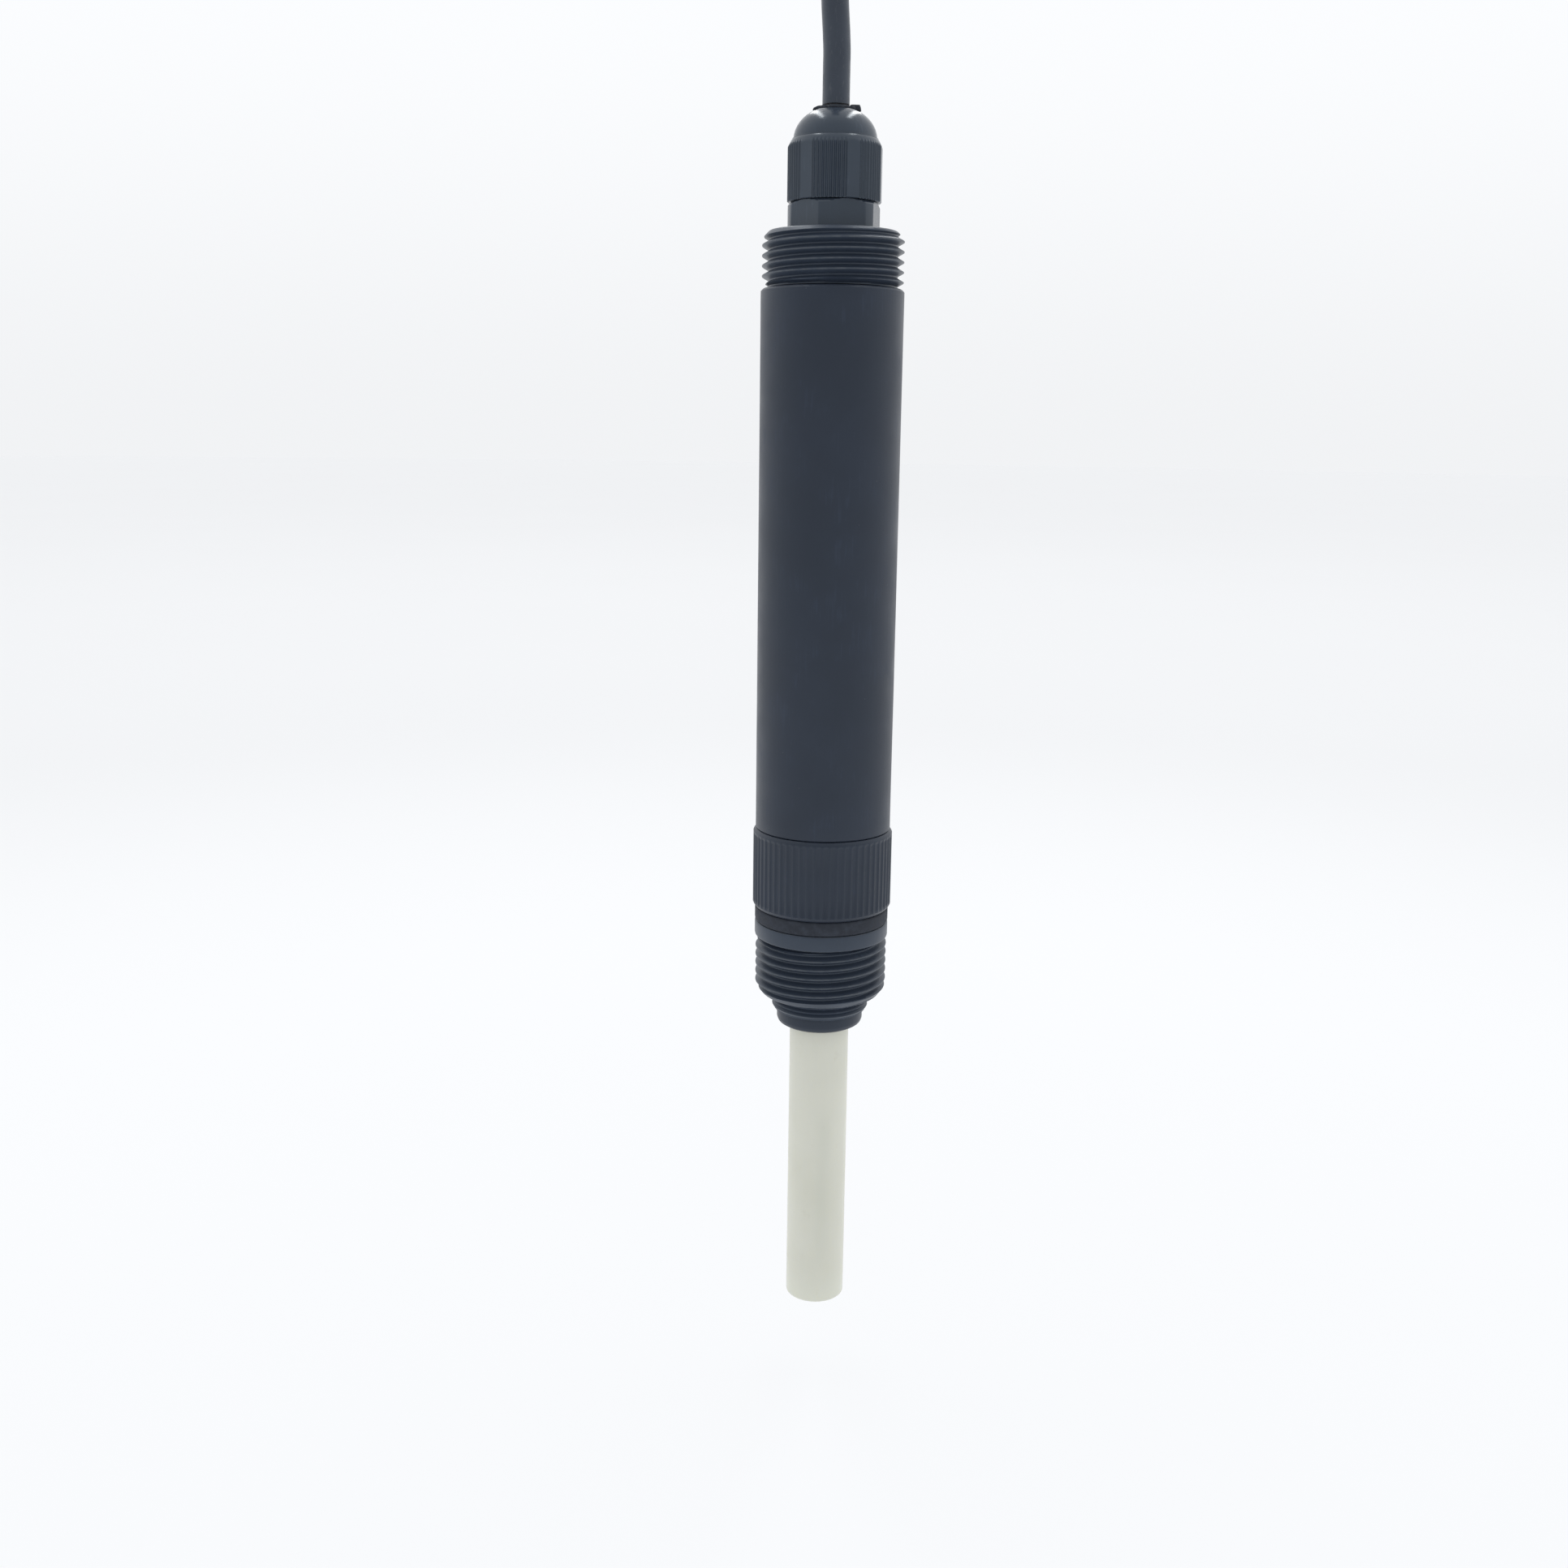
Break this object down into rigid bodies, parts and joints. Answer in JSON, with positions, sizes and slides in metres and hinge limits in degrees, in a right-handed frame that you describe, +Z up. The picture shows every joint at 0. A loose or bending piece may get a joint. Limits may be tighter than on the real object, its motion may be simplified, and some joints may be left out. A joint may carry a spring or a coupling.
{
  "type": "immersion ph sensor",
  "caption": "Immersion pH sensor: black tube with threaded ends, cable gland, coupling collar, white electrode sleeve with a glass bulb, and a short cable with a round plug.",
  "frame": {"origin": "centre of the cable plug's top face, the point by which the sensor hangs", "axes": "+Z up along the sensor's axis with the electrode tip towards -Z; -Y is the side that faces the viewer, +X is its right"},
  "size_m": [0.0276, 0.0276, 0.3247],
  "materials": {
    "housing_plastic": "satin",
    "gland_plastic": "gloss",
    "cable_jacket": "satin",
    "seal_rubber": "matte",
    "sleeve_plastic": "satin",
    "membrane_glass": "polished",
    "contact_gold": "plated",
    "plug_metal": "nickel plated",
    "plug_plastic": "satin",
    "plug_seal": "matte",
    "board_laminate": "satin",
    "chip_epoxy": "matte",
    "part_metal": "satin",
    "potting_resin": "gloss",
    "silver": "satin",
    "junction_ceramic": "matte",
    "ring_plastic": "matte",
    "silicone": "matte",
    "wire_red": "satin",
    "wire_black": "satin",
    "wire_yellow": "satin",
    "wire_green": "satin"
  },
  "bodies": {
    "housing": {"plug_body": "plug_plastic", "plug_strain_relief": "plug_plastic", "plug_insert": "plug_plastic", "plug_pin_1": "contact_gold", "plug_pin_2": "contact_gold", "plug_pin_3": "contact_gold", "plug_pin_4": "contact_gold", "plug_o_ring": "plug_seal", "cable": "cable_jacket", "cable_inner_end": "cable_jacket", "core_wire_1": "wire_red", "core_wire_2": "wire_black", "core_wire_3": "wire_yellow", "core_wire_4": "wire_green", "gland_body": "gland_plastic", "gland_washer": "seal_rubber", "upper_end_cap": "housing_plastic", "housing_tube": "housing_plastic", "potting_plug": "potting_resin", "circuit_board": "board_laminate", "board_carrier_upper": "ring_plastic", "board_carrier_lower": "ring_plastic", "wire_header": "ring_plastic", "transceiver_chip": "chip_epoxy", "power_converter": "chip_epoxy", "microcontroller": "chip_epoxy", "crystal_can": "part_metal", "buffer_capacitor": "part_metal", "isolator_chip": "chip_epoxy", "amplifier_chip": "chip_epoxy", "shield_can": "part_metal", "contact_socket": "contact_gold", "spring_pin_reference": "contact_gold", "spring_pin_temperature": "contact_gold"},
    "gland_seal": {"gland_seal": "seal_rubber"},
    "gland_cap_nut": {"gland_cap_nut": "gland_plastic"},
    "electrode_module": {"lower_fitting": "housing_plastic", "retaining_ring": "housing_plastic", "flange_gasket": "seal_rubber", "split_thrust_ring": "ring_plastic", "housing_o_ring": "seal_rubber", "head_o_ring": "seal_rubber", "tip_o_ring": "seal_rubber", "electrode_sleeve": "sleeve_plastic", "glass_bulb": "membrane_glass", "glass_stem": "membrane_glass", "junction_ring": "junction_ceramic", "stem_stopper": "silicone", "silver_wire": "silver", "reference_wire": "silver", "temperature_probe": "part_metal", "electrode_head": "plug_plastic", "contact_pin": "contact_gold", "contact_ring": "contact_gold", "lock_ring": "plug_plastic"},
    "coupling_collar": {"coupling_collar": "housing_plastic"},
    "plug_coupling_ring": {"plug_coupling_ring": "plug_metal"}
  },
  "joints": [
    {"name": "module_slide", "type": "slide", "parent": "housing", "child": "electrode_module", "axis": [0, 0, -1], "range_m": [0, 0.006]},
    {"name": "collar_turn", "type": "hinge", "parent": "electrode_module", "child": "coupling_collar", "pos_m": [0, 0, -0.23], "axis": [0, 0, -1], "range_deg": [0, 1440]},
    {"name": "seal_rise", "type": "slide", "parent": "housing", "child": "gland_seal", "axis": [0, 0, 1], "range_m": [0, 0.006]},
    {"name": "cap_nut_turn", "type": "hinge", "parent": "gland_seal", "child": "gland_cap_nut", "pos_m": [0, 0, -0.098], "axis": [0, 0, 1], "range_deg": [0, 1440]},
    {"name": "plug_ring_turn", "type": "hinge", "parent": "housing", "child": "plug_coupling_ring", "pos_m": [0, 0, -0.01], "axis": [0, 0, 1], "continuous": true}
  ],
  "couplings": [
    {"joint": "collar_turn", "follows": "module_slide", "rad_per_m": 4188.8},
    {"joint": "cap_nut_turn", "follows": "seal_rise", "rad_per_m": 4188.8}
  ]
}
